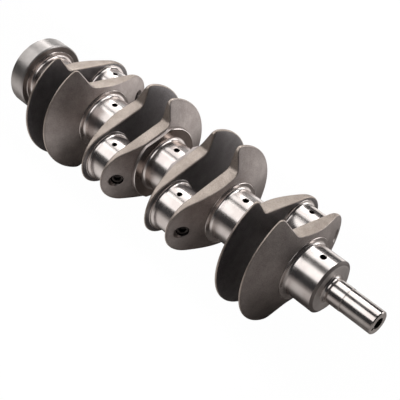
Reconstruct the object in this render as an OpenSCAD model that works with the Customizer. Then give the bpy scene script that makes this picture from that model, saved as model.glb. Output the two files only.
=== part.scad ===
// Inline-four crankshaft, one steel forging with five main journals.
// The shaft axis lies along X, the nose points to +X and the flywheel
// flange to -X. The four throws lie in the level plane: crankpins 1 and 4
// on +Y, crankpins 2 and 3 on -Y. The origin is the centre of the middle
// main journal. Every region of the forging is a solid of its own and
// meets its neighbours face to face.

/* [Layout] */
// Distance between neighbouring main journals
pitch = 94; // [90:1:100]
// Crank throw, half of the stroke
throw = 36; // [34:0.5:38]
// Length of a main journal between its two webs
main_len = 33; // [31:0.5:35]
// Thickness of a web beside its main journal
web_t = 17.4; // [16.5:0.1:18]

/* [Journals] */
// Diameter of the main journals
main_d = 54; // [52:0.5:55]
// Diameter of the crankpins
pin_d = 48; // [46:0.5:49]
// Radius of the rolled fillets at the journal ends
fillet_r = 3; // [2:0.25:3.25]
// Length of main journal 1 in front of its oil hole
front_half = 14.7; // [14:0.1:16]
// Length of the bevel on the free front edge of main journal 1
front_bevel = 1.8; // [1:0.1:3]
// Depth of that bevel, towards the shaft axis
bevel_depth = 3.2; // [1:0.1:4]
// Length of the last main journal, from web 8 to the flange
rear_main_len = 31.5; // [30:0.5:33]

/* [Webs] */
// Radius of the ground ring round a main journal
ring_r = 32.7; // [31.5:0.1:33.5]
// Radius of the wide thrust faces beside the middle journal
thrust_r = 39; // [37:0.5:40]
// Radius of the ground ring round a crankpin
pin_ring_r = 27.1; // [27.05:0.05:28]
// Height of the ground rings above the web
ring_h = 0.6; // [0.3:0.1:1]
// Thickness of a web at the rim of its counterweight
rim_t = 1.8; // [1.5:0.1:3]
// Counterweight radius of the end webs 1, 2, 7 and 8
fan_r_end = 66.8; // [66:0.2:68]
// Counterweight radius of the middle webs 3 to 6
fan_r_mid = 64.5; // [63:0.5:66]
// Radius of the rounded arm end
arm_r = 28.8; // [28:0.2:29.6]
// Distance of the arm end's centre from the shaft axis
arm_c = 39.5; // [38:0.5:41]
// Rounding of the counterweight tips
tip_r = 6; // [3:0.5:7]
// Rounding of the hollow between arm and counterweight
hollow_r = 7; // [4:0.5:8]

/* [Nose] */
// Diameter of the nose
nose_d = 23.4; // [22:0.1:23.8]
// Diameter of the seat at the root of the nose
seat_d = 24.1; // [23:0.1:26]
// Length of the seat
seat_len = 18.8; // [14:0.2:22]
// Length of the nose in front of main journal 1
nose_len = 52.6; // [46:0.2:56]
// Drill diameter of the bolt hole in the nose, for an M12 thread
nose_bore_d = 10.2; // [8.5:0.1:10.8]
// Depth of the bolt hole
nose_bore_len = 34; // [24:1:40]

/* [Flange] */
// Diameter of the flywheel flange
flange_d = 78.8; // [76:0.2:82]
// Thickness of the flange
flange_t = 20.8; // [18:0.2:24]
// Bolt circle diameter in the flange
flange_pcd = 58; // [56:1:60]
// Number of flywheel bolts
flange_bolts = 6; // [5:1:8]
// Drill diameter of the flywheel bolt holes, for an M10 x 1 thread
flange_hole_d = 9; // [8.5:0.1:9.5]
// Depth of the flywheel bolt holes
flange_hole_len = 16; // [12:0.5:17]
// Diameter of the pilot bearing bore
pilot_d = 21; // [17:0.5:24]
// Depth of the pilot bearing bore
pilot_len = 18; // [12:0.5:19]

/* [Oil ways] */
// Diameter of the galleries and of the oil holes in the crankpins
oil_d = 5; // [4:0.5:6]
// Diameter of the oil holes through the main journals
main_oil_d = 6; // [5:0.5:7]
// Diameter of the plug seat where a gallery enters a web
plug_d = 12; // [11:0.5:12.5]
// Depth of the plug seat under the web's sloping face
plug_seat_len = 8; // [7:0.5:9]
// Length of a gallery plug
plug_len = 5; // [4:0.5:5.5]
// Lean of the crankpin oil holes away from the shaft axis, in degrees
pin_oil_lean = 7; // [0:1:10]

/* [Output] */
// Which region to build, or "all"

/* [Hidden] */
$fn = 96;
main_r = main_d / 2;
pin_r = pin_d / 2;
pin_len = pitch - main_len - 2 * web_t;
arm_slope = 12.7;
tip_step = 8;
mouth = 0.3;
slope = (web_t - 2 * ring_h - rim_t) / (fan_r_end - ring_r);

forged = [0.36, 0.34, 0.32];
ground = [0.80, 0.79, 0.77];
blackened = [0.16, 0.15, 0.15];

// x of the centre of main journal i and of crankpin i
function main_x(i) = (3 - i) * pitch;
function pin_x(i) = (2.5 - i) * pitch;
// x of the flange's front face, without its ground ring
function rear_face() = main_x(5) + main_len / 2 - rear_main_len;
// Side of crankpin i: +1 for pins 1 and 4, -1 for pins 2 and 3
function side(i) = (i == 1 || i == 4) ? 1 : -1;

// Points of an arc round c, from angle a to angle b in n steps
function arc(c, r, a, b, n) =
    [for (i = [0 : n]) c + r * [cos(a + (b - a) * i / n), sin(a + (b - a) * i / n)]];

// Points that round the corner p between a and b with radius r
function unit(v) = v / norm(v);
function corner(a, p, b, r, n) =
    let (u = unit(a - p),
         w = unit(b - p),
         half = acos(u * w) / 2,
         c = p + unit(u + w) * r / sin(half),
         s = p + u * r / tan(half) - c,
         e = p + w * r / tan(half) - c,
         sa = atan2(s[1], s[0]),
         raw = atan2(e[1], e[0]) - sa,
         turn = raw > 180 ? raw - 360 : raw < -180 ? raw + 360 : raw)
    arc(c, r, sa, sa + turn, n);

// Upper half of a web outline, from the arm end round to the rim.
// The arm edge falls by arm_slope, the fan side leans back from the
// hollow of the shoulder to the tip of the counterweight.
function half_outline(fan_r, hollow, tip_a) =
    let (touch = [arm_c + arm_r * sin(arm_slope), arm_r * cos(arm_slope)],
         shoulder = [hollow, touch[1] + (touch[0] - hollow) * tan(arm_slope)],
         tip = fan_r * [cos(tip_a), sin(tip_a)],
         next = fan_r * [cos(tip_a + tip_step), sin(tip_a + tip_step)])
    concat(arc([arm_c, 0], arm_r, 4, 90 - arm_slope, 20),
           corner(touch, shoulder, tip, hollow_r, 8),
           corner(shoulder, tip, next, tip_r, 9),
           arc([0, 0], fan_r, tip_a + tip_step, 177, 34));

function outline(fan_r, hollow, tip_a) =
    let (h = half_outline(fan_r, hollow, tip_a),
         n = len(h))
    concat([[arm_c + arm_r, 0]], h, [[-fan_r, 0]], [for (i = [n - 1 : -1 : 0]) [h[i][0], -h[i][1]]]);

// Everything drawn in (x, y) becomes (y, z) and is extruded along +X
module along_x(x0) {
    translate([x0, 0, 0])
        rotate([90, 0, 90])
            children();
}

// Round bar along X from x0 to x1, at distance y from the axis
module bar(r, x0, x1, y = 0) {
    translate([x0, y, 0])
        rotate([0, 90, 0])
            cylinder(r = r, h = x1 - x0);
}

// Drilling of radius r that starts at p in direction d (in the XY plane)
module drill_xy(p, d, r, from, to) {
    translate([p[0] + d[0] * from, p[1] + d[1] * from, 0])
        rotate([0, 90, atan2(d[1], d[0])])
            cylinder(r = r, h = to - from);
}

// Direction of the gallery that feeds crankpin i from main journal i + 1
function gallery_dir(i) = unit([pitch / 2, side(i) * throw]);

// Distance along the gallery, from main journal i + 1 to the sloping face
// of the web: the face starts at x = pitch - main_len / 2 and falls back
// by slope for every millimetre outside the ring.
function gallery_exit() =
    let (d = gallery_dir(1))
    (pitch - main_len / 2 - ring_h + slope * ring_r) / (d[0] + slope * d[1]);

module gallery(i, from, to) {
    drill_xy([main_x(i + 1), 0], gallery_dir(i), oil_d / 2, from, to);
}

// Profile points [radius, x] of a rolled fillet, from the face at x = 0
// out to a journal of radius r
function fillet_points(r, steps = 6) =
    [for (k = [0 : steps]) [r + fillet_r * (1 - sin(90 * k / steps)),
                            fillet_r * (1 - cos(90 * k / steps))]];

// Solid turned about the X axis from [radius, x] points
module turned(points) {
    rotate([0, 90, 0])
        rotate_extrude()
            polygon(points);
}

// Rolled fillet, solid to the axis, standing out towards +x
module fillet(r) {
    turned(concat([[0, 0]], fillet_points(r), [[0, fillet_r]]));
}

// Oil hole of diameter d with a small 45 degree mouth, straight up from p,
// leaning by lean
module oil_hole(p, r, lean, d) {
    translate([p[0], p[1], 0])
        rotate([-lean, 0, 0]) {
            cylinder(r = d / 2, h = r + 1);
            translate([0, 0, r - mouth])
                cylinder(r1 = d / 2, r2 = d / 2 + 1.5, h = 1.5);
        }
}

// Parallel part of main journal i. Journal 1 ends in a free bevelled face
// with the root fillet of the nose, journal 5 is a little shorter.
module main_journal(i) {
    x0 = (i == 5 ? rear_face() + ring_h : main_x(i) - main_len / 2) + fillet_r;
    x1 = i == 1 ? main_x(1) + front_half : main_x(i) + main_len / 2 - fillet_r;
    front_end = concat([[main_r, x1 - front_bevel], [main_r - bevel_depth, x1]],
                       [for (p = fillet_points(seat_d / 2)) p + [0, x1]],
                       [[0, x1 + fillet_r]]);
    color(ground)
        difference() {
            rotate([15, 0, 0])
                turned(concat([[0, x0], [main_r, x0]],
                              i == 1 ? front_end : [[main_r, x1], [0, x1]]));
            oil_hole([main_x(i), 0], main_r, 0, main_oil_d);
            mirror([0, 0, 1])
                oil_hole([main_x(i), 0], main_r, 0, main_oil_d);
            if (i > 1)
                gallery(i - 1, 0, 60);
        }
}

module crankpin(i) {
    y = side(i) * throw;
    half = pin_len / 2 - fillet_r;
    color(ground)
        difference() {
            bar(pin_r, pin_x(i) - half, pin_x(i) + half, y);
            oil_hole([pin_x(i), y], pin_r, side(i) * pin_oil_lean, oil_d);
            gallery(i, 20, gallery_exit());
        }
}

// Plug seat of gallery i, with a bevelled mouth
module gallery_seat(i) {
    d = gallery_dir(i);
    out = gallery_exit();
    drill_xy([main_x(i + 1), 0], d, plug_d / 2, out - plug_seat_len, out + 12);
    translate([main_x(i + 1) + d[0] * (out - 1.2), d[1] * (out - 1.2), 0])
        rotate([0, 90, atan2(d[1], d[0])])
            cylinder(r1 = plug_d / 2 - 0.4, r2 = plug_d / 2 + 5, h = 5.4);
}

// Turned envelope of a web in its own frame: the crankpin side is at x = 0,
// the main journal side at x = web_t. That side slopes away outside the
// ring, so a web is thin at its rim.
module turned_face(ring) {
    far = 78;
    low = web_t - ring_h - slope * (ring - ring_r);
    end = web_t - ring_h - slope * (far - ring_r);
    turned([[0, 0], [far, 0], [far, end], [ring, low], [ring, web_t], [0, web_t]]);
}

// Web k. Odd webs turn their sloping face to +X, even webs to -X.
module crank_web(k) {
    i = ceil(k / 2);
    odd = k % 2 == 1;
    end_web = k < 3 || k > 6;
    fan_r = end_web ? fan_r_end : fan_r_mid;
    hollow = end_web ? -10.2 : -8.4;
    tip_a = end_web ? 110 : 104;
    ring = (k == 4 || k == 5) ? thrust_r : ring_r;
    face = pin_x(i) + (odd ? 1 : -1) * pin_len / 2;
    color(forged)
        difference() {
            translate([face, 0, 0])
                mirror([odd ? 0 : 1, 0, 0])
                    rotate([side(i) > 0 ? 0 : 180, 0, 0]) {
                        intersection() {
                            along_x(ring_h)
                                linear_extrude(height = web_t)
                                    polygon(outline(fan_r, hollow, tip_a));
                            turned_face(ring);
                        }
                        bar(pin_ring_r, 0, 2, throw);
                        translate([web_t, 0, 0])
                            fillet(main_r);
                        translate([0, throw, 0])
                            mirror([1, 0, 0])
                                fillet(pin_r);
                    }
            gallery(i, 0, gallery_exit() + 5);
            if (odd)
                gallery_seat(i);
        }
}

// Nose with its seat, bevelled tip, bolt hole and locating hole
module nose() {
    x0 = main_x(1) + front_half;
    nr = nose_d / 2;
    sr = seat_d / 2;
    color(ground)
        difference() {
            translate([x0, 0, 0])
                turned([[0, fillet_r], [sr, fillet_r], [sr, seat_len - 0.4], [nr, seat_len],
                        [nr, nose_len - 0.9], [nr - 0.9, nose_len], [0, nose_len]]);
            bar(nose_bore_d / 2, x0 + nose_len - nose_bore_len, x0 + nose_len + 1);
            translate([x0 + nose_len - 0.7, 0, 0])
                rotate([0, 90, 0])
                    cylinder(r1 = nose_bore_d / 2, r2 = nose_bore_d / 2 + 1, h = 1);
            translate([x0 + nose_len - 6, -7.4, -1.9])
                rotate([0, 90, 0])
                    cylinder(r = 1.6, h = 7);
        }
}

// Flywheel flange, bolt holes and pilot bore open to -X
module flywheel_flange() {
    x0 = rear_face() - flange_t;
    fr = flange_d / 2;
    color(ground)
        difference() {
            union() {
                translate([x0, 0, 0])
                    turned([[0, 0], [fr - 1.2, 0], [fr, 1.2], [fr, flange_t - 1.2],
                            [fr - 1.2, flange_t], [0, flange_t]]);
                bar(ring_r, rear_face() - 1, rear_face() + ring_h);
                translate([rear_face() + ring_h, 0, 0])
                    fillet(main_r);
            }
            bar(pilot_d / 2, x0 - 1, x0 + pilot_len);
            translate([x0 - 0.5, 0, 0])
                rotate([0, 90, 0])
                    cylinder(r1 = pilot_d / 2 + 1.3, r2 = pilot_d / 2, h = 1.3);
            for (a = [0 : flange_bolts - 1])
                rotate([a * 360 / flange_bolts, 0, 0])
                    bar(flange_hole_d / 2, x0 - 1, x0 + flange_hole_len, flange_pcd / 2);
        }
}

// Screwed plugs that close the gallery mouths, with a hexagon socket
module gallery_plugs() {
    out = gallery_exit();
    color(blackened)
        for (i = [1 : 4]) {
            d = gallery_dir(i);
            translate([main_x(i + 1) + d[0] * (out - plug_seat_len), d[1] * (out - plug_seat_len), 0])
                rotate([0, 90, atan2(d[1], d[0])])
                    difference() {
                        cylinder(r = plug_d / 2, h = plug_len);
                        translate([0, 0, plug_len - 3])
                            cylinder(r = 3.4, h = 4, $fn = 6);
                    }
        }
}

nose();
main_journal(1);  // main_journal_1
main_journal(2);  // main_journal_2
main_journal(3);  // main_journal_3
main_journal(4);  // main_journal_4
main_journal(5);  // main_journal_5
crankpin(1);  // crankpin_1
crankpin(2);  // crankpin_2
crankpin(3);  // crankpin_3
crankpin(4);  // crankpin_4
crank_web(1);  // crank_web_1
crank_web(2);  // crank_web_2
crank_web(3);  // crank_web_3
crank_web(4);  // crank_web_4
crank_web(5);  // crank_web_5
crank_web(6);  // crank_web_6
crank_web(7);  // crank_web_7
crank_web(8);  // crank_web_8
flywheel_flange();
gallery_plugs();
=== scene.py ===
# %% [markdown]
# # A crankshaft in ground and forged steel
# The CAD model gives every size and place. It arrives as a fixed frame of plain solids, which
# Blender must not move. This lesson builds the finished surfaces round that frame: what the grinding
# wheel touched is bright and smooth, and what came out of the forging die is dark and matt.

# %% Load the frame
import math
import bmesh
import bpy
import numpy as np
from mathutils import Matrix, Vector


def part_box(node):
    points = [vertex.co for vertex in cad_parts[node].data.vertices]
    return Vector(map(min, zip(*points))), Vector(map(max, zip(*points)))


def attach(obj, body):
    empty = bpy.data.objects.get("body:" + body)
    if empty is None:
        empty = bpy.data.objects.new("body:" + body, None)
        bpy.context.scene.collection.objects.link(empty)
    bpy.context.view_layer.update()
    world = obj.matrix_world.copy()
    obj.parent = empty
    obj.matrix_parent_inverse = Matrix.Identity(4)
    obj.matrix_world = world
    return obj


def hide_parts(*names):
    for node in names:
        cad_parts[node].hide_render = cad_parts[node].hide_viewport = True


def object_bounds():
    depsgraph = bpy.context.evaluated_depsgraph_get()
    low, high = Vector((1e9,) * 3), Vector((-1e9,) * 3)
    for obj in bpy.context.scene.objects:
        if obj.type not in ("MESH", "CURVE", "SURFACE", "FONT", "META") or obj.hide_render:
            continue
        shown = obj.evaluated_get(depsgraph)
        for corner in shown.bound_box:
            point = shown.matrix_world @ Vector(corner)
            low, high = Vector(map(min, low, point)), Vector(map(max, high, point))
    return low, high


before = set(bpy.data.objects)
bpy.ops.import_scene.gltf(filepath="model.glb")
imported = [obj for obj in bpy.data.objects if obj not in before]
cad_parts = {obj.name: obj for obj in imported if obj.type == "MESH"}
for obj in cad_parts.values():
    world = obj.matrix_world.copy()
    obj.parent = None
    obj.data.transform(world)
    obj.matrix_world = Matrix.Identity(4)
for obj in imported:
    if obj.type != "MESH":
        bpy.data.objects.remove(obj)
cad_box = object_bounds()
MM = 0.001
print("nodes in the frame:", len(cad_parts))

# %% [markdown]
# ## Sizes
# Numbers that the frame can tell are read from it: the ends and radius of a journal are those of
# its CAD node. The rest, such as the radius of a rolled fillet, are named once here in metres.

# %% Sizes read from the frame
def extent(node):
    """Lowest and highest corner of a CAD node as two arrays, in metres."""
    low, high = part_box(node)
    return np.array(low), np.array(high)


main_low, main_high = extent("main_journal_2")
pin_low, pin_high = extent("crankpin_1")
MAIN_R = (main_high[2] - main_low[2]) / 2
PIN_R = (pin_high[1] - pin_low[1]) / 2
THROW = (pin_high[1] + pin_low[1]) / 2
PITCH = extent("main_journal_1")[0][0] - main_low[0]
FILLET = 3.0 * MM
MAIN_LEN = main_high[0] - main_low[0] + 2 * FILLET
PIN_LEN = pin_high[0] - pin_low[0] + 2 * FILLET
WEB_T = (PITCH - MAIN_LEN - PIN_LEN) / 2
print("main radius %.2f, pin radius %.2f, throw %.2f, web %.2f mm"
      % (MAIN_R / MM, PIN_R / MM, THROW / MM, WEB_T / MM))

# %% Sizes of the finer shapes
# COLUMNS is the number of points round a turned piece, BAND the longest band along it, and SHARP
# the angle above which an edge stays crisp.
RING_R = 32.7 * MM
THRUST_R = 39.0 * MM
PIN_RING_R = 27.1 * MM
RING_H = 0.6 * MM
RIM_T = 1.8 * MM
FAN_R_END = 66.8 * MM
FAN_R_MID = 64.5 * MM
ARM_R = 28.8 * MM
ARM_C = 39.5 * MM
ARM_SLOPE = math.radians(12.7)
TIP_R = 6.0 * MM
HOLLOW_R = 7.0 * MM
TIP_STEP = math.radians(8)
CONE = (WEB_T - 2 * RING_H - RIM_T) / (FAN_R_END - RING_R)
OIL_R = 2.5 * MM
MAIN_OIL_R = 3.0 * MM
PLUG_R = 6.0 * MM
PLUG_SEAT = 8.0 * MM
PLUG_LEN = 5.0 * MM
PIN_LEAN = math.radians(7)
COLUMNS = 256
BAND = 2.5 * MM
SHARP = math.radians(38)


def main_x(i):
    """Centre of main journal i along the shaft, the middle one at zero."""
    return (3 - i) * PITCH


def pin_x(i):
    """Centre of crankpin i along the shaft."""
    return (2.5 - i) * PITCH


def side(i):
    """Crankpins 1 and 4 stand at +Y, crankpins 2 and 3 at -Y."""
    return 1 if i in (1, 4) else -1


# %% [markdown]
# ## From arrays to meshes
# Every new surface here is a stack of closed loops: a grid of rows and columns. The first and last
# row shrink to one point, a pole, so the shell is closed. Numpy works out all points and faces at
# once, which is quicker and easier to read than adding faces one by one.

# %% Grid to mesh
def loops_mesh(name, rows, materials, row_material=None):
    """Closed shell from rows of points (rows x columns x 3), the first and last row being poles.

    Quads join each row to the next, and triangle fans close the two poles. row_material gives the
    material number of the band that starts at each row.
    """
    count, columns = rows.shape[:2]
    inner = rows[1:-1].reshape(-1, 3)
    points = np.vstack([rows[0, :1], inner, rows[-1, :1]])
    column = np.arange(columns)
    after = (column + 1) % columns
    start = 1 + columns * np.arange(count - 3)[:, None]
    quads = np.stack([start + column, start + after, start + columns + after,
                      start + columns + column], axis=-1).reshape(-1, 4)
    last = len(points) - 1
    foot = 1 + columns * (count - 3)
    first_fan = np.stack([np.zeros_like(column), 1 + after, 1 + column], axis=-1)
    last_fan = np.stack([np.full_like(column, last), foot + column, foot + after], axis=-1)
    mesh = bpy.data.meshes.new(name)
    mesh.from_pydata(points.tolist(), [], quads.tolist() + first_fan.tolist() + last_fan.tolist())
    if row_material is not None:
        bands = np.asarray(row_material, dtype=np.int32)
        index = np.concatenate([np.repeat(bands[1:count - 2], columns),
                                np.full(columns, bands[0]), np.full(columns, bands[count - 2])])
        mesh.polygons.foreach_set("material_index", index.astype(np.int32))
    for material in materials:
        mesh.materials.append(material)
    return finish_shell(mesh)


def finish_shell(mesh):
    """Points all faces outwards, shades them smooth and keeps edges sharper than SHARP crisp."""
    work = bmesh.new()
    work.from_mesh(mesh)
    bmesh.ops.remove_doubles(work, verts=work.verts, dist=1e-7)
    bmesh.ops.recalc_face_normals(work, faces=work.faces)
    work.to_mesh(mesh)
    work.free()
    mesh.shade_smooth()
    mesh.set_sharp_from_angle(angle=SHARP)
    mesh.update()
    return mesh


def place(name, mesh, replaces):
    """Links a finished mesh as a piece of the crankshaft, in place of its CAD node."""
    piece = bpy.data.objects.new(name, mesh)
    bpy.context.scene.collection.objects.link(piece)
    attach(piece, "root")
    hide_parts(replaces)
    print("%-22s %6d faces" % (name, len(mesh.polygons)))


# %% [markdown]
# ## Turned surfaces
# Journals, nose and flange were turned and ground, so each is a profile that goes once round an
# axis. A profile is a list of (radius, x) pairs from one pole to the other. Long straight stretches
# are cut into short bands, so that the drilled holes later meet small, even faces.

# %% Turned profile to mesh
def arc(centre, radius, start, end, steps):
    """Points (radius, x) on a circle round centre, from angle start to angle end in degrees."""
    a = np.radians(np.linspace(start, end, steps + 1))
    return np.stack([centre[0] + radius * np.cos(a), centre[1] + radius * np.sin(a)], axis=-1)


def finely(profile, step):
    """The same profile with every straight stretch cut into bands no longer than step."""
    profile = np.asarray(profile, dtype=float)
    parts = [profile[:1]]
    for a, b in zip(profile[:-1], profile[1:]):
        cuts = max(1, int(np.ceil(np.linalg.norm(b - a) / step)))
        parts.append(a + (b - a) * (np.arange(1, cuts + 1) / cuts)[:, None])
    return np.vstack(parts)


def turned_rows(profile, y=0.0, columns=COLUMNS):
    """Rows of points where each (radius, x) of the profile goes once round the axis at height y."""
    a = 2 * np.pi * np.arange(columns) / columns
    r, x = np.asarray(profile).T
    return np.stack([np.repeat(x[:, None], columns, axis=1), y + r[:, None] * np.cos(a),
                     r[:, None] * np.sin(a)], axis=-1)


def fillet_profile(radius, foot, direction, steps=8):
    """Rolled fillet: a quarter circle from a face at x = foot onto a journal of that radius.

    The journal stands out of the face towards direction, +1 or -1. The points run from face to journal.
    """
    centre = (radius + FILLET, foot + direction * FILLET)
    return arc(centre, FILLET, -90 * direction, -180 * direction, steps)


# %% [markdown]
# ## Drilled holes
# An oil hole can't be a row of the grid, so it is cut with a Boolean modifier: a slim turned
# cutter with a countersunk mouth is taken away from the journal. The modifier is then applied, so
# the finished piece is one plain mesh and the cutter is gone.

# %% Boolean cutting
OIL_DEPTH = 14 * MM
OIL_BEVEL = 0.3 * MM
OIL_FLARE = 2.3 * MM


def turned_towards(rows, origin, direction):
    """Rows drawn along X, turned so that X points along direction, and moved to origin."""
    turn = Vector((1, 0, 0)).rotation_difference(Vector(direction)).to_matrix()
    return rows @ np.array(turn).T + np.asarray(origin)


def cutter_mesh(profile, origin, direction, columns=40, wall=None):
    """Turned cutter: (radius, distance) pairs carried round a line from origin along direction.

    wall is the material that the cut leaves behind, the nearly black bore of painted shade if none is
    given.
    """
    rows = turned_towards(turned_rows(profile, columns=columns), origin, direction)
    return loops_mesh("cutter", rows, [wall or BORE_PAINTED_SHADE])


def drill(mesh, cutters):
    """Cuts each cutter out of the mesh with the exact Boolean and returns the new mesh."""
    body = bpy.data.objects.new("drilled", mesh)
    bpy.context.scene.collection.objects.link(body)
    tools = []
    for cutter in cutters:
        tool = bpy.data.objects.new("drill", cutter)
        bpy.context.scene.collection.objects.link(tool)
        cut = body.modifiers.new("cut", "BOOLEAN")
        cut.operation = "DIFFERENCE"
        cut.solver = "EXACT"
        cut.material_mode = "TRANSFER"
        cut.object = tool
        tools.append(tool)
    graph = bpy.context.evaluated_depsgraph_get()
    result = bpy.data.meshes.new_from_object(body.evaluated_get(graph))
    result.name = mesh.name
    for tool in tools + [body]:
        bpy.data.objects.remove(tool)
    result.shade_smooth()
    result.set_sharp_from_angle(angle=SHARP)
    return result


def oil_cutter(x, y, radius, lean, bore):
    """Oil hole of radius bore that leans by an angle from +Z, with a narrow 45 degree mouth."""
    up = (0, math.sin(lean), math.cos(lean))
    bottom = radius - OIL_DEPTH
    mouth = radius - OIL_BEVEL
    profile = [(0, bottom), (bore, bottom), (bore, mouth),
               (bore + OIL_FLARE, mouth + OIL_FLARE), (0, mouth + OIL_FLARE)]
    return cutter_mesh(profile, (x, y, 0), up)


# %% [markdown]
# ## Colours and a node helper
# Colours are written as hex, the way a paint chart gives them, and turned to linear light once.
# One small function adds a shader node with its settings and links, so each material below reads
# like a recipe.

# %% Helpers for materials
def linear(hex_colour):
    """sRGB hex to linear RGBA: the dark end is divided by 12.92, the rest follows a 2.4 power."""
    srgb = np.array([int(hex_colour[i:i + 2], 16) for i in (1, 3, 5)]) / 255
    value = np.where(srgb <= 0.04045, srgb / 12.92, ((srgb + 0.055) / 1.055) ** 2.4)
    return (*value.tolist(), 1.0)


def add_node(tree, kind, settings=None, **inputs):
    """Adds a node, sets its properties from settings, and links or sets each input.

    An input is given by its name, or by its number after an underscore where names repeat.
    """
    node = tree.nodes.new(kind)
    for name, value in (settings or {}).items():
        setattr(node, name, value)
    for name, value in inputs.items():
        socket = node.inputs[int(name[1:])] if name[0] == "_" else node.inputs[name.replace("_", " ")]
        if isinstance(value, bpy.types.NodeSocket):
            tree.links.new(value, socket)
        else:
            socket.default_value = value
    return node


def new_material(name):
    """Empty material with a Principled shader; returns material, node tree, shader and coordinates."""
    material = bpy.data.materials.new(name)
    material.use_nodes = True
    tree = material.node_tree
    tree.nodes.clear()
    shader = tree.nodes.new("ShaderNodeBsdfPrincipled")
    output = tree.nodes.new("ShaderNodeOutputMaterial")
    tree.links.new(shader.outputs[0], output.inputs[0])
    where = tree.nodes.new("ShaderNodeTexCoord").outputs["Object"]
    return material, tree, shader, where


def ramp(tree, value, stops):
    """Colour ramp from (position, hex or grey) stops."""
    node = add_node(tree, "ShaderNodeValToRGB", _0=value)
    cells = node.color_ramp.elements
    while len(cells) < len(stops):
        cells.new(0.5)
    for cell, (position, colour) in zip(cells, stops):
        cell.position = position
        cell.color = linear(colour) if isinstance(colour, str) else (colour, colour, colour, 1)
    return node.outputs[0]


# %% [markdown]
# ## Forged steel
# The webs come out of a hammer die, are descaled with steel shot, and keep that skin. Shot leaves
# shallow dimples 0.3 to 0.5 mm across, too fine to show at this size, so the bump uses 0.9 mm.
# A slower pattern, 8 to 20 mm, is the uneven oxide: it moves the colour a little from brown to grey.

# %% Forged steel
def forged_steel(name, tones, low, high):
    """Shot-blasted forging skin: matt, metallic, brown-grey, with fine dimples and cloudy oxide."""
    material, tree, shader, where = new_material(name)
    cloud = add_node(tree, "ShaderNodeTexNoise", Vector=where, Scale=1 / (14 * MM), Detail=5.0,
                     Roughness=0.62)
    grit = add_node(tree, "ShaderNodeTexNoise", Vector=where, Scale=1 / (0.9 * MM), Detail=3.0,
                    Roughness=0.65)
    tone = ramp(tree, cloud.outputs[0], list(zip((0.30, 0.55, 0.75), tones)))
    speck = ramp(tree, grit.outputs[0], [(0.34, 0.66), (0.66, 1.0)])
    colour = add_node(tree, "ShaderNodeMix", {"data_type": "RGBA", "blend_type": "MULTIPLY"},
                      _0=1.0, _6=tone, _7=speck)
    rough = add_node(tree, "ShaderNodeMapRange", Value=grit.outputs[0], _3=low, _4=high)
    dimple = add_node(tree, "ShaderNodeBump", Strength=0.35, Distance=0.10 * MM,
                      Height=grit.outputs[0])
    tree.links.new(colour.outputs[2], shader.inputs["Base Color"])
    tree.links.new(rough.outputs[0], shader.inputs["Roughness"])
    tree.links.new(dimple.outputs[0], shader.inputs["Normal"])
    shader.inputs["Metallic"].default_value = 1.0
    return material


# %% [markdown]
# ## Ground steel
# Journals and pins are ground, then polished with a film belt. The marks run round the axis and
# are microns fine, so they are drawn as bands of about 0.5 mm that change the roughness a little
# and bend the normal even less. The pattern is stretched: short along the shaft, long round it.

# %% Ground steel
def ground_steel(name, low, high, pitch_mm, bump, base="#dbd4d0", speck="#cbc2be"):
    """Ground metal: roughness between low and high in fine bands across the shaft's length."""
    material, tree, shader, where = new_material(name)
    along = add_node(tree, "ShaderNodeMapping", Vector=where,
                     Scale=(1 / (pitch_mm * MM), 1 / (60 * MM), 1 / (60 * MM)))
    bands = add_node(tree, "ShaderNodeTexNoise", Vector=along.outputs[0], Scale=1.0, Detail=3.0,
                     Roughness=0.6)
    smear = add_node(tree, "ShaderNodeTexNoise", Vector=where, Scale=1 / (18 * MM), Detail=2.0)
    mixed = add_node(tree, "ShaderNodeMath", {"operation": "MULTIPLY"}, _0=bands.outputs[0],
                     _1=smear.outputs[0])
    rough = add_node(tree, "ShaderNodeMapRange", Value=mixed.outputs[0], _1=0.10, _2=0.42, _3=low,
                     _4=high)
    tone = ramp(tree, smear.outputs[0], [(0.35, speck), (0.65, base)])
    scratch = add_node(tree, "ShaderNodeBump", Strength=bump, Distance=0.02 * MM,
                       Height=bands.outputs[0])
    tree.links.new(tone, shader.inputs["Base Color"])
    tree.links.new(rough.outputs[0], shader.inputs["Roughness"])
    tree.links.new(scratch.outputs[0], shader.inputs["Normal"])
    shader.inputs["Metallic"].default_value = 1.0
    return material


# %% [markdown]
# ## Blackened steel
# The gallery plugs are bought screws with a thin black oxide, darker than any other part.

# %% Blackened steel
def blackened_steel():
    """Black oxide on steel: nearly black metal with an oily, uneven gloss."""
    material, tree, shader, where = new_material("blackened_steel_plug")
    film = add_node(tree, "ShaderNodeTexNoise", Vector=where, Scale=1 / (3 * MM), Detail=3.0)
    tone = ramp(tree, film.outputs[0], [(0.35, "#2b2827"), (0.7, "#4a4543")])
    rough = add_node(tree, "ShaderNodeMapRange", Value=film.outputs[0], _3=0.25, _4=0.45)
    tree.links.new(tone, shader.inputs["Base Color"])
    tree.links.new(rough.outputs[0], shader.inputs["Roughness"])
    shader.inputs["Metallic"].default_value = 1.0
    return material


# %% [markdown]
# ## Drilled steel
# A twist drill leaves a rough wall, and hardly any light gets down the hole. That shade is painted:
# a nearly black, matt material on the wall keeps the mouth of each oil hole crisp.

# %% Drilled steel
def drilled_steel():
    """Bore wall left by a twist drill: rough, with the shade inside the hole painted nearly black."""
    material, tree, shader, where = new_material("drilled_bore_painted_shade")
    film = add_node(tree, "ShaderNodeTexNoise", Vector=where, Scale=1 / (0.8 * MM), Detail=2.0)
    tone = ramp(tree, film.outputs[0], [(0.35, "#1c1a19"), (0.7, "#3a3634")])
    tree.links.new(tone, shader.inputs["Base Color"])
    shader.inputs["Roughness"].default_value = 0.6
    shader.inputs["Metallic"].default_value = 1.0
    return material
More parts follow.
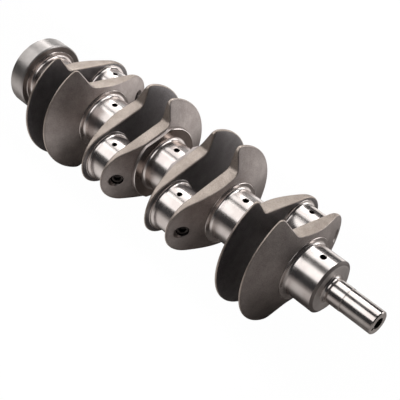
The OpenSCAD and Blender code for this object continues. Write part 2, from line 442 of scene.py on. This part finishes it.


# %% [markdown]
# ## The finishes of this crankshaft
# Each finish is one of the recipes above with its own numbers: a lower roughness for a finer
# wheel, a darker base for a dry turned face. The plain CAD nodes get one too, in case they show.

# %% Finishes
# Forgings: the blasted skin, a paler band on the rounded edges, which is a painted highlight,
# and the smoother flats between two webs, whose darker base is painted shade. Ground: the
# belt-polished journals, the coarser plunge-ground seal rim, the fine thrust face, darker by
# painted shade, and the nose. Turned: coarse flange and seats, and the pale fine front face.
FORGED = forged_steel("forged_steel_shot_blasted", ("#aaa09c", "#bbb1ad", "#c8beba"), 0.38, 0.50)
# Paler base on the rounded web edges: a painted highlight.
EDGE_PAINTED_HIGHLIGHT = forged_steel("forged_steel_edge_painted_highlight", ("#b0a399", "#c1b4aa", "#cfc2b8"), 0.42, 0.55)
# Darker base on the flats between webs: painted shade from the neighbouring web; the smoother finish is
# real.
FLAT_PAINTED_SHADE = forged_steel("forged_steel_between_webs", ("#969293", "#a5a1a2", "#b0acad"), 0.36, 0.46)
# Nearly black bore walls: painted shade inside the holes.
BORE_PAINTED_SHADE = drilled_steel()
GROUND = ground_steel("ground_steel_belt_polished", 0.19, 0.25, 0.5, 0.3)
RIM = ground_steel("ground_steel_plunge_ground", 0.26, 0.40, 0.45, 0.6, "#b3aeab", "#9c9794")
TURNED = ground_steel("turned_steel_face", 0.30, 0.42, 0.6, 0.5, "#958e8b", "#857e7a")
# Darker base on the thrust face: painted shade; its finer grind, the low roughness, is real.
THRUST_PAINTED_SHADE = ground_steel("ground_steel_thrust_face_painted_shade", 0.12, 0.18, 0.6, 0.3, "#b3a69f", "#a2968f")
FACED = ground_steel("turned_steel_fine_face", 0.42, 0.52, 0.6, 0.4, "#dcd6d3", "#ccc6c3")
HONED = ground_steel("ground_steel_nose", 0.15, 0.22, 0.5, 0.3)
BLACK = blackened_steel()
for cad_name, cad_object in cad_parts.items():
    for cad_slot in cad_object.material_slots:
        cad_slot.material = FORGED if "web" in cad_name else GROUND
print("materials:", ", ".join(material.name for material in bpy.data.materials))

# %% [markdown]
# ## Main journals
# Five journals carry the shaft. Each is ground with both fillets and the narrow ring beside them
# in one plunge of the wheel, so one profile holds all of it. The ring stands 0.6 mm proud of the
# forging, and its outer edge is broken by a small bevel. The profile reaches a little into the
# webs, so no gap can show.

# %% Main journals
SINK = 1.2 * MM
RING_BEVEL = 0.35 * MM
FRONT_HALF = 14.7 * MM
FRONT_BEVEL = 1.8 * MM
BEVEL_DEPTH = 3.2 * MM
FACE_INNER_R = 16.0 * MM
NEAR = 0.1 * MM


def ring_and_fillet(radius, ring, face, direction):
    """Half profile from inside a web to the journal: ring wall, bevel, ring face, rolled fillet.

    Without a ring the fillet rises straight out of the face.
    """
    inside = face - direction * SINK
    if ring is None:
        return np.vstack([[(0, inside), (radius + FILLET, inside)],
                          fillet_profile(radius, face, direction)])
    return np.vstack([[(0, inside), (ring, inside), (ring, face - direction * RING_BEVEL),
                       (ring - RING_BEVEL, face)],
                      fillet_profile(radius, face, direction)])


def main_profile(i):
    """Profile of main journal i from its -X end to its +X end.

    Journal 1 ends in front in a bevelled shoulder. Journal 3 has no ring of its own, because it
    stands between the thrust collars, and journal 5 starts at the flange, which has the ring.
    """
    low, high = extent("main_journal_%d" % i)
    ring = None if i == 3 else RING_R
    left = ring_and_fillet(MAIN_R, ring, low[0] - FILLET, 1)
    if i == 5:
        left = np.array([(0, low[0]), (MAIN_R, low[0])])
    if i == 1:
        seat_r = extent("nose")[1][2]
        step = high[0] - FILLET
        right = np.vstack([[(MAIN_R, step - FRONT_BEVEL), (MAIN_R - BEVEL_DEPTH, step)],
                           fillet_profile(seat_r, step, 1), [(0, high[0])]])
        return np.vstack([left, right])
    right = ring_and_fillet(MAIN_R, ring, high[0] + FILLET, -1)[::-1]
    return np.vstack([left, right])


# Only journal 1 reaches far enough forward for the turned bevel and the fine front face.
front_step = main_x(1) + FRONT_HALF
for i in range(1, 6):
    profile = finely(main_profile(i), BAND)
    shoulder = profile[:, 1] > front_step - FRONT_BEVEL - NEAR
    bevel = shoulder & (profile[:, 1] < front_step - NEAR)
    front_face = shoulder & ~bevel & (profile[:, 0] > FACE_INNER_R)
    shell = loops_mesh("main_journal_%d" % i, turned_rows(profile), [GROUND, FACED, TURNED],
                       front_face + 2 * bevel)
    holes = [oil_cutter(main_x(i), 0, MAIN_R, lean, MAIN_OIL_R) for lean in (0, math.pi)]
    place("main_journal_%d_ground" % i, drill(shell, holes), "main_journal_%d" % i)

# %% [markdown]
# ## Crankpins
# The connecting rods hold on to the four pins. They are ground like the main journals, but off
# the shaft's axis by half the stroke, so the same profile is carried round an axis at that height.
# Their oil holes lean a little outwards.

# %% Crankpins
for i in range(1, 5):
    low, high = extent("crankpin_%d" % i)
    y = side(i) * THROW
    left = ring_and_fillet(PIN_R, PIN_RING_R, low[0] - FILLET, 1)
    right = ring_and_fillet(PIN_R, PIN_RING_R, high[0] + FILLET, -1)[::-1]
    profile = finely(np.vstack([left, right]), BAND)
    shell = loops_mesh("crankpin_%d" % i, turned_rows(profile, y), [GROUND])
    holes = [oil_cutter(pin_x(i), y, PIN_R, side(i) * PIN_LEAN, OIL_R)]
    place("crankpin_%d_ground" % i, drill(shell, holes), "crankpin_%d" % i)

# %% [markdown]
# ## Webs
# A web is a forged slab. Its outline is a round arm end that falls along two slightly leaning
# edges into a hollow, and then opens into the fan of the counterweight. One side is flat. The
# other is turned to a shallow cone, so the slab is thick at the shaft and thin at its rim. The
# forging has no sharp edge: each corner is rounded, by less where the rim is thin.
#
# The surface is a grid again. Its rows run from a pole in the middle of the cone side, out to the
# rim, round it, and back to a pole on the flat side. Its columns follow the outline.

# %% Outline of a web
def unit(v):
    """The vector v at length 1."""
    return v / np.linalg.norm(v)


def outline_arc(centre, radius, start, end, steps):
    """Points (y, z) on a circle, from angle start to angle end in radians."""
    a = np.linspace(start, end, steps + 1)
    return np.asarray(centre) + radius * np.stack([np.cos(a), np.sin(a)], axis=-1)


def rounded_corner(before, corner, after, radius, steps):
    """Arc that rounds a corner between two straight lines and touches both."""
    u, w = unit(before - corner), unit(after - corner)
    half = math.acos(np.clip(u @ w, -1, 1)) / 2
    centre = corner + unit(u + w) * radius / math.sin(half)
    start = corner + u * radius / math.tan(half) - centre
    end = corner + w * radius / math.tan(half) - centre
    first = math.atan2(start[1], start[0])
    turn = (math.atan2(end[1], end[0]) - first + math.pi) % (2 * math.pi) - math.pi
    return outline_arc(centre, radius, first, first + turn, steps)


def even_points(points, count):
    """count points at equal steps along a closed line, by its running length."""
    closed = np.vstack([points, points[:1]])
    run = np.concatenate([[0], np.cumsum(np.linalg.norm(np.diff(closed, axis=0), axis=1))])
    at = np.linspace(0, run[-1], count, endpoint=False)
    return np.stack([np.interp(at, run, closed[:, k]) for k in (0, 1)], axis=-1)


def web_outline(fan_r, hollow, tip_angle, count=480):
    """Closed outline (y, z) of a web with its arm towards +Y."""
    touch = np.array([ARM_C + ARM_R * math.sin(ARM_SLOPE), ARM_R * math.cos(ARM_SLOPE)])
    shoulder = np.array([hollow, touch[1] + (touch[0] - hollow) * math.tan(ARM_SLOPE)])
    tip = fan_r * np.array([math.cos(tip_angle), math.sin(tip_angle)])
    beyond = fan_r * np.array([math.cos(tip_angle + TIP_STEP), math.sin(tip_angle + TIP_STEP)])
    half = np.vstack([outline_arc((ARM_C, 0), ARM_R, 0, math.pi / 2 - ARM_SLOPE, 60),
                      rounded_corner(touch, shoulder, tip, HOLLOW_R, 24),
                      rounded_corner(shoulder, tip, beyond, TIP_R, 24),
                      outline_arc((0, 0), fan_r, tip_angle + TIP_STEP, math.pi, 90)])
    mirrored = half[-2:0:-1] * (1, -1)
    return even_points(np.vstack([half, mirrored]), count)


# %% [markdown]
# ## Surface of a web
# Where the grinding wheel stopped, it left a fine groove round the ring. The two middle webs carry
# the thrust collar instead, a ground face with a bevelled edge that keeps the shaft from sliding
# along. The wall round a web is paler than its faces: a painted highlight on the rounded edges.
# The flat face between two webs is painted darkest, as the shade that the next web casts on it.

# %% Surface of a web
GROOVE = 0.85 * MM
COLLAR_BEVEL = 0.6 * MM
CORNER_R = 1.6 * MM
CORNER_SHARE = 0.46
FOOT_MARGIN = 1.8 * MM
UNDER_RING = 0.3 * MM
WEB_FINISHES = [FORGED, THRUST_PAINTED_SHADE, GROUND, FLAT_PAINTED_SHADE, EDGE_PAINTED_HIGHLIGHT]
SKIN, COLLAR, BRIGHT, FLAT, EDGE_HIGHLIGHT = range(5)


def outward_normals(points):
    """Unit normals of a closed line that runs anticlockwise, from the step across each point."""
    step = np.roll(points, -1, axis=0) - np.roll(points, 1, axis=0)
    step /= np.linalg.norm(step, axis=1)[:, None]
    return np.stack([step[:, 1], -step[:, 0]], axis=-1)


def smooth_closed(values, width):
    """Closed list smoothed by a Gaussian of that width, in points, with the Fourier transform."""
    frequency = np.fft.rfftfreq(len(values))
    soften = np.exp(-2 * (np.pi * frequency * width) ** 2)
    return np.fft.irfft(np.fft.rfft(values) * soften, len(values))


def cone_x(y, z, ring):
    """Height of the turned side: level inside the ring, then falling by CONE per unit of radius."""
    r = np.hypot(y, z)
    return WEB_T - RING_H - CONE * (np.maximum(r, ring) - RING_R)


def web_rows(fan_r, hollow, tip_angle, ring, thrust):
    """Rows of points (x, y, z) of a web in its own place: flat side at x = RING_H, arm to +Y.

    The columns leave the axis along rays that are evened out round the lap. A corner is CORNER_R,
    or CORNER_SHARE of the thickness where the rim is thin. room is 1 where the groove has its
    full width beside the ring and 0 where the outline leaves no space for it.
    """
    edge = web_outline(fan_r, hollow, tip_angle)
    normal = outward_normals(edge)
    angle = np.unwrap(np.arctan2(edge[:, 1], edge[:, 0]))
    lap = 2 * np.pi * np.arange(len(edge)) / len(edge)
    spread = smooth_closed(angle - lap, 9) + lap
    ray = np.stack([np.cos(spread), np.sin(spread)], axis=-1)

    thick = cone_x(edge[:, 0], edge[:, 1], ring) - RING_H
    corner = smooth_closed(np.minimum(CORNER_R, CORNER_SHARE * thick), 4)[:, None]
    inset = edge - normal * corner
    reach = np.hypot(*edge.T) - FOOT_MARGIN
    foot = np.minimum(ring, reach)[:, None] * ray
    room = np.clip((reach - ring) / GROOVE, 0, 1)[:, None]

    rows, bands = [], []

    def add(yz, x, band):
        """Keeps one row: its points, their x, and the material of the band that starts here."""
        rows.append(np.column_stack([np.broadcast_to(x, len(yz)), yz]))
        bands.append(band)

    level = WEB_T if thrust else WEB_T - RING_H - UNDER_RING
    for share in (0, 0.5, 0.8):
        add(foot * share, level, COLLAR if thrust else SKIN)
    if thrust:
        bevel = COLLAR_BEVEL * room
        add(foot - ray * bevel, level, BRIGHT)
        add(foot, level - bevel[:, 0], SKIN)
    else:
        add(foot * 0.999, level, SKIN)
    for out, deep in ((0.0, 1.0), (0.6, 0.9), (1.0, 0.0)):
        yz = foot + ray * room * out * GROOVE
        add(yz, cone_x(*yz.T, ring) - deep * room[:, 0] * GROOVE / 2, SKIN)
    foot = yz
    for share in np.linspace(0, 1, 22)[1:]:
        yz = foot + (inset - foot) * share
        add(yz, cone_x(*yz.T, ring), SKIN)
    top = cone_x(*inset.T, ring)
    # The outer part of each rounded corner gets the paler edge band, a painted highlight; the flat side
    # gets the darker flat material, painted shade.
    for a in np.radians(np.linspace(0, 90, 7)[1:]):
        yz = inset + normal * corner * math.sin(a)
        add(yz, top - corner[:, 0] * (1 - math.cos(a)), EDGE_HIGHLIGHT if a > 0.7 else SKIN)
    for a in np.radians(np.linspace(90, 0, 7)):
        yz = inset + normal * corner * math.sin(a)
        add(yz, RING_H + corner[:, 0] * (1 - math.cos(a)), EDGE_HIGHLIGHT if a > 0.5 else FLAT)
    for share in np.linspace(1, 0, 14)[1:]:
        add(inset * share, RING_H, FLAT)
    return np.array(rows), bands


# %% [markdown]
# ## Galleries and their plugs
# Oil reaches a crankpin through a slanting gallery. It is drilled from the cone side of every odd
# web, through the pin, into the next main journal. Its mouth is bored wider and bevelled, and a
# screwed plug with a hexagon socket closes it from inside.

# %% Gallery geometry
GALLERY = unit(np.array([PITCH / 2, THROW]))
GALLERY_EXIT = (PITCH - MAIN_LEN / 2 - RING_H + CONE * RING_R) / (GALLERY[0] + CONE * GALLERY[1])
SEAT_START = GALLERY_EXIT - PLUG_SEAT
SEAT_BEVEL = 0.8 * MM
SEAT_FLARE = 5 * MM
GALLERY_SEEN = 9 * MM


def gallery_frame(i):
    """Start point and direction of the gallery that feeds crankpin i."""
    return (main_x(i + 1), 0, 0), (GALLERY[0], side(i) * GALLERY[1], 0)


def seat_cutter(i):
    """Bore for the plug with a 45 degree mouth, along gallery i."""
    inner = SEAT_START - GALLERY_SEEN
    mouth = GALLERY_EXIT - SEAT_BEVEL
    profile = [(0, inner), (OIL_R, inner), (OIL_R, SEAT_START), (PLUG_R, SEAT_START), (PLUG_R, mouth),
               (PLUG_R + SEAT_FLARE, mouth + SEAT_FLARE), (0, mouth + SEAT_FLARE)]
    origin, direction = gallery_frame(i)
    return cutter_mesh(finely(profile, 3 * MM), origin, direction, 64, TURNED)


# %% [markdown]
# ## Eight webs from one grid
# Odd webs face +X with their cone, even webs -X, so a negative scale turns one grid into the other.
# finish_shell then turns the faces outwards again. Two webs carry the thrust collar, and the four
# odd ones are bored for a gallery plug.

# %% Webs
HOLLOW_END = -10.2 * MM
HOLLOW_MID = -8.4 * MM
TIP_END = math.radians(110)
TIP_MID = math.radians(104)
for k in range(1, 9):
    i = (k + 1) // 2
    odd = k % 2 == 1
    end_web = k < 3 or k > 6
    thrust = k in (4, 5)
    fan = (FAN_R_END, HOLLOW_END, TIP_END) if end_web else (FAN_R_MID, HOLLOW_MID, TIP_MID)
    local, bands = web_rows(*fan, THRUST_R if thrust else RING_R, thrust)
    away = 1 if odd else -1
    world = local * (away, side(i), 1) + (pin_x(i) + away * PIN_LEN / 2, 0, 0)
    low, high = extent("crank_web_%d" % k)
    shell = loops_mesh("crank_web_%d" % k, np.clip(world, low, high), WEB_FINISHES, bands)
    if odd:
        shell = drill(shell, [seat_cutter(i)])
    place("crank_web_%d_forging" % k, shell, "crank_web_%d" % k)

# %% [markdown]
# ## Gallery plugs
# Each plug is a short screw without a head. Its hexagon socket is a row of the same grid, drawn at
# the radius of a hexagon: r = apothem / cos(angle from the middle of the flat).

# %% Gallery plugs
PLUG_COLUMNS = 96
PLUG_CHAMFER = 0.7 * MM
SOCKET_R = 3.4 * MM
SOCKET_DEPTH = 3 * MM


def plug_mesh(i):
    """One plug: a chamfered cylinder with a hexagon socket sunk in its outer face."""
    top = SEAT_START + PLUG_LEN
    a = 2 * np.pi * np.arange(PLUG_COLUMNS) / PLUG_COLUMNS
    hexagon = math.cos(math.pi / 6) / np.cos((a % (np.pi / 3)) - np.pi / 6)
    loops = [(0, SEAT_START, False), (PLUG_R, SEAT_START, False), (PLUG_R, top - PLUG_CHAMFER, False),
             (PLUG_R - PLUG_CHAMFER, top, False), (SOCKET_R + 0.7 * MM, top, False),
             (SOCKET_R + 0.2 * MM, top - 0.3 * MM, True), (SOCKET_R, top - 0.5 * MM, True),
             (SOCKET_R, top - SOCKET_DEPTH, True), (0, top - SOCKET_DEPTH - 0.6 * MM, False)]
    rows = []
    for radius, along, in_socket in loops:
        r = radius * (hexagon if in_socket else np.ones(PLUG_COLUMNS))
        rows.append(np.stack([np.full(PLUG_COLUMNS, along), r * np.cos(a), r * np.sin(a)], axis=-1))
    rows = turned_towards(np.array(rows), *gallery_frame(i))
    return loops_mesh("gallery_plug_%d" % i, rows, [BLACK])


for i in range(1, 5):
    place("gallery_plug_%d" % i, plug_mesh(i), "gallery_plugs")

# %% [markdown]
# ## Nose
# The nose carries the timing sprocket and the pulley. A fine step marks the end of the sprocket's
# seat. The end is bevelled and bored for the pulley bolt, with a small locating hole beside it.

# %% Nose
nose_low, nose_high = extent("nose")
SEAT_R = nose_high[2]
NOSE_R = SEAT_R - 0.35 * MM
SEAT_LEN = 18.8 * MM
SEAT_END = nose_low[0] - FILLET + SEAT_LEN
STEP_DEPTH = 0.25 * MM
NOSE_BEVEL = 0.9 * MM
BOLT_R = 5.1 * MM
BOLT_BEVEL = 0.7 * MM
BOLT_DEPTH = 34 * MM
LOCATING_R = 1.6 * MM
LOCATING_DEPTH = 6 * MM
tip_x = nose_high[0]
nose_profile = [(0, nose_low[0] - SINK), (SEAT_R - 0.8 * MM, nose_low[0] - SINK),
                (SEAT_R, nose_low[0]), (SEAT_R, SEAT_END - 0.4 * MM),
                (NOSE_R - STEP_DEPTH, SEAT_END), (NOSE_R - STEP_DEPTH, SEAT_END + 0.5 * MM),
                (NOSE_R, SEAT_END + 0.8 * MM), (NOSE_R, tip_x - NOSE_BEVEL),
                (NOSE_R - NOSE_BEVEL, tip_x), (BOLT_R + BOLT_BEVEL, tip_x),
                (BOLT_R, tip_x - BOLT_BEVEL), (BOLT_R, tip_x - BOLT_DEPTH),
                (0, tip_x - BOLT_DEPTH - 3 * MM)]
nose_profile = finely(nose_profile, BAND)
# The bore's rows lie inside its bevelled mouth and no deeper than its drilled point.
in_bore = nose_profile[:, 0] < BOLT_R + BOLT_BEVEL + 0.01 * MM
in_bore &= nose_profile[:, 1] > tip_x - BOLT_DEPTH - 6 * MM
# The bolt bore's walls take the nearly black bore material, painted shade.
shell = loops_mesh("nose", turned_rows(nose_profile), [HONED, BORE_PAINTED_SHADE], in_bore.astype(int))
locating = cutter_mesh([(0, -LOCATING_DEPTH), (LOCATING_R, -LOCATING_DEPTH), (LOCATING_R, 1 * MM),
                        (0, 1 * MM)], (tip_x, -7.4 * MM, -1.9 * MM), (1, 0, 0))
place("nose_ground", drill(shell, [locating]), "nose")

# %% [markdown]
# ## Flywheel flange
# The flange is turned, and only its rim is ground, for the oil seal. So its profile changes
# finish on the way: dark turned faces, bright rim. The rear face has six threaded holes and the
# pilot bore.

# %% Flywheel flange
flange_low, flange_high = extent("flywheel_flange")
FLANGE_R = flange_high[2]
back_x = flange_low[0]
ring_x = flange_high[0] - FILLET
front_x = ring_x - RING_H
EDGE = 1.2 * MM
PILOT_R = 10.5 * MM
PILOT_DEPTH = 18 * MM
PILOT_BEVEL = 0.8 * MM
PCD_R = 29 * MM
THREAD_R = 4.5 * MM
THREAD_DEPTH = 16 * MM
flange_profile = np.vstack([
    [(0, back_x + PILOT_DEPTH), (PILOT_R, back_x + PILOT_DEPTH - 0.5 * MM),
     (PILOT_R, back_x + PILOT_BEVEL), (PILOT_R + PILOT_BEVEL, back_x),
     (FLANGE_R - EDGE, back_x), (FLANGE_R, back_x + EDGE),
     (FLANGE_R, front_x - EDGE), (FLANGE_R - EDGE, front_x), (RING_R, front_x),
     (RING_R, ring_x - RING_BEVEL), (RING_R - RING_BEVEL, ring_x)],
    fillet_profile(MAIN_R, ring_x, 1), [(0, flange_high[0])]])
flange_profile = finely(flange_profile, BAND)
radius, station = flange_profile.T
on_rim = radius > FLANGE_R - 0.5 * EDGE
by_ring = (radius < RING_R + 0.01 * MM) & (station > front_x - 0.01 * MM)
finish = np.where(on_rim, 1, np.where(by_ring, 2, 0))
shell = loops_mesh("flywheel_flange", turned_rows(flange_profile), [TURNED, RIM, GROUND], finish)
bolt_profile = [(0, -2 * MM), (THREAD_R + 1 * MM, -2 * MM), (THREAD_R + 1 * MM, -0.5 * MM),
                (THREAD_R, 0.7 * MM), (THREAD_R, THREAD_DEPTH), (0, THREAD_DEPTH + 2.5 * MM)]
bolts = [cutter_mesh(bolt_profile, (back_x, PCD_R * math.cos(a), PCD_R * math.sin(a)), (1, 0, 0))
         for a in np.radians(np.arange(0, 360, 60))]
place("flywheel_flange_turned", drill(shell, bolts), "flywheel_flange")

# %% [markdown]
# ## Floor and light
# Polished steel shows the room, not itself. The journals need large soft boxes that run along the
# shaft, with narrow gaps between them: a gap becomes a thin dark line on the metal. The floor is
# plain and pale, and bright enough to read as white. For the steel that faces down, painted glowing
# pools of light stand where a real table would catch the boxes, with a painted shadow under the shaft.

# %% Floor
def floor_material():
    """White sweep: to the lens it glows evenly, and the steel sees painted pools of light on it.

    The painted pool at +Y lights the far silhouettes, the one at -Y the lower left of the journals,
    and a faint one in front of the nose the faces that look along +X. Under the shaft the floor is
    left dark, a painted shadow.
    """
    material, tree, shader, where = new_material("studio_floor")
    output = tree.nodes["Material Output"]
    shader.inputs["Base Color"].default_value = linear("#807b78")
    shader.inputs["Roughness"].default_value = 0.9
    spot = add_node(tree, "ShaderNodeSeparateXYZ", Vector=where)

    def slope(value, start, end, low, high):
        """Smooth step from low at start to high at end."""
        return add_node(tree, "ShaderNodeMapRange", {"interpolation_type": "SMOOTHSTEP"}, Value=value,
                        _1=start, _2=end, _3=low, _4=high).outputs[0]

    def times(a, b):
        """Product of two values."""
        return add_node(tree, "ShaderNodeMath", {"operation": "MULTIPLY"}, _0=a, _1=b).outputs[0]

    along, across = spot.outputs[0], spot.outputs[1]
    # Glowing pools of light painted on the floor; the gap between them under the shaft is a painted
    # shadow.
    right_pool = times(slope(across, 0.125, 0.20, 0.0, 1.0), slope(along, 0.06, 0.22, 1.0, 0.35))
    left_pool_shadow_edge = slope(across, -0.045, -0.09, 0.0, 0.66)
    left_fade = slope(across, -0.10, -0.42, 1.0, 0.12)
    left_pool = times(times(left_pool_shadow_edge, left_fade), slope(along, 0.06, 0.28, 1.0, 0.15))
    front_pool = slope(along, 0.19, 0.30, 0.0, 0.15)
    sides = add_node(tree, "ShaderNodeMath", {"operation": "ADD"}, _0=right_pool, _1=left_pool)
    pools = add_node(tree, "ShaderNodeMath", {"operation": "MAXIMUM"}, _0=sides.outputs[0],
                     _1=front_pool)
    pool_glow = add_node(tree, "ShaderNodeEmission", Color=(1, 0.985, 0.975, 1),
                         Strength=pools.outputs[0])
    lit = add_node(tree, "ShaderNodeAddShader", _0=shader.outputs[0], _1=pool_glow.outputs[0])
    glow = add_node(tree, "ShaderNodeEmission", Color=(1, 1, 1, 1), Strength=1.02)
    path = tree.nodes.new("ShaderNodeLightPath")
    seen = add_node(tree, "ShaderNodeMath", {"operation": "MULTIPLY"}, _0=path.outputs[0], _1=0.97)
    both = add_node(tree, "ShaderNodeMixShader", _0=seen.outputs[0], _1=lit.outputs[0],
                    _2=glow.outputs[0])
    tree.links.new(both.outputs[0], output.inputs[0])
    return material


floor_z = cad_box[0][2]
half = 4.0
floor_corners = [(-half, -half, floor_z), (half, -half, floor_z), (half, half, floor_z),
                 (-half, half, floor_z)]
floor_mesh = bpy.data.meshes.new("floor")
floor_mesh.from_pydata(floor_corners, [], [(0, 1, 2, 3)])
floor_mesh.materials.append(floor_material())
floor = bpy.data.objects.new("floor", floor_mesh)
bpy.context.scene.collection.objects.link(floor)

# %% [markdown]
# ## Soft boxes
# A soft box is a lamp behind cloth: a bright rectangle that polished steel shows as a band. Six
# of them lie along the shaft, above and beside it, and a seventh stands past its nose. Area lights
# do the same here, each set by the angles between which the shaft sees it, because those angles
# decide where its band falls on a journal. A stepped edge on the left ones makes the dark gap 
# on the journals narrower towards the flange. The bright core in the right one lifts the tops of
# the arms, and the dim fill keeps their undersides from going black.

# %% Soft boxes
def soft_box(name, angles, stations, distance=1.1, glow=1.6):
    """Soft box parallel to the shaft, seen from it between two angles above +Y, in degrees.

    stations is its reach along X in metres. glow is how bright its face is, whatever its size, so
    its power is pi x area x glow.
    """
    middle = math.radians(sum(angles) / 2)
    light = bpy.data.lights.new(name, "AREA")
    light.shape = "RECTANGLE"
    light.size = stations[1] - stations[0]
    light.size_y = 2 * distance * math.tan(math.radians(angles[1] - angles[0]) / 2)
    light.energy = math.pi * light.size * light.size_y * glow
    lamp = bpy.data.objects.new(name, light)
    lamp.location = (sum(stations) / 2, distance * math.cos(middle), distance * math.sin(middle))
    lamp.rotation_euler = (middle - math.pi / 2, 0, 0)
    bpy.context.scene.collection.objects.link(lamp)


soft_box("soft_box_left", (106, 143), (-1.7, 0.4))
soft_box("soft_box_left_step", (95, 106), (-1.7, -0.36))
soft_box("soft_box_left_end", (88, 98), (-1.7, -0.50))
soft_box("soft_box_right", (36, 80), (-1.7, 0.4))
soft_box("soft_box_right_core", (38, 52), (-1.7, 0.4), distance=1.0, glow=2.6)
soft_box("soft_box_fill", (-5, 28), (-2.3, -0.46), glow=0.50)
soft_box("soft_box_side", (0, 24), (0.15, 1.05), distance=1.2, glow=2.6)

# %% [markdown]
# ## World
# The room behind the boxes is dim grey. A second, white background is for the lens alone, so the
# picture stays white where the floor ends.

# %% World
def studio_world():
    """Grey room for the steel to reflect, and white behind the floor's edge for the lens."""
    world = bpy.data.worlds.new("studio")
    world.use_nodes = True
    tree = world.node_tree
    tree.nodes.clear()
    room = add_node(tree, "ShaderNodeBackground", Color=linear("#808084"), Strength=0.16)
    white = add_node(tree, "ShaderNodeBackground", Color=(1, 1, 1, 1), Strength=1.02)
    path = tree.nodes.new("ShaderNodeLightPath")
    both = add_node(tree, "ShaderNodeMixShader", _0=path.outputs[0], _1=room.outputs[0],
                    _2=white.outputs[0])
    add_node(tree, "ShaderNodeOutputWorld", Surface=both.outputs[0])
    return world


bpy.context.scene.world = studio_world()
bpy.context.scene.view_settings.view_transform = "Standard"

# %% [markdown]
# ## Camera
# A long lens keeps the far webs nearly as large as the near ones. It looks from the nose end, 41
# degrees above the floor, and is rolled a little about its own axis. Its three axes are worked out
# and put into a matrix, which says where it points without a chain of rotations.

# %% Camera
AZIMUTH, ELEVATION, ROLL = (math.radians(v) for v in (43.175, 41.09, 5.4375))
camera_data = bpy.data.cameras.new("camera")
camera_data.lens = 83.56
camera_data.sensor_width = 36.0
camera_data.clip_end = 20
camera = bpy.data.objects.new("camera", camera_data)
back = Vector((math.sin(AZIMUTH) * math.cos(ELEVATION), -math.cos(AZIMUTH) * math.cos(ELEVATION),
               math.sin(ELEVATION)))
right = Vector((math.cos(AZIMUTH), math.sin(AZIMUTH), 0))
up = back.cross(right)
turned_right = right * math.cos(ROLL) + up * math.sin(ROLL)
turned_up = up * math.cos(ROLL) - right * math.sin(ROLL)
stand = Vector((0.50216, -0.49615, 0.58153))
camera.matrix_world = Matrix((turned_right, turned_up, back)).transposed().to_4x4()
camera.location = stand
bpy.context.scene.collection.objects.link(camera)
bpy.context.scene.camera = camera
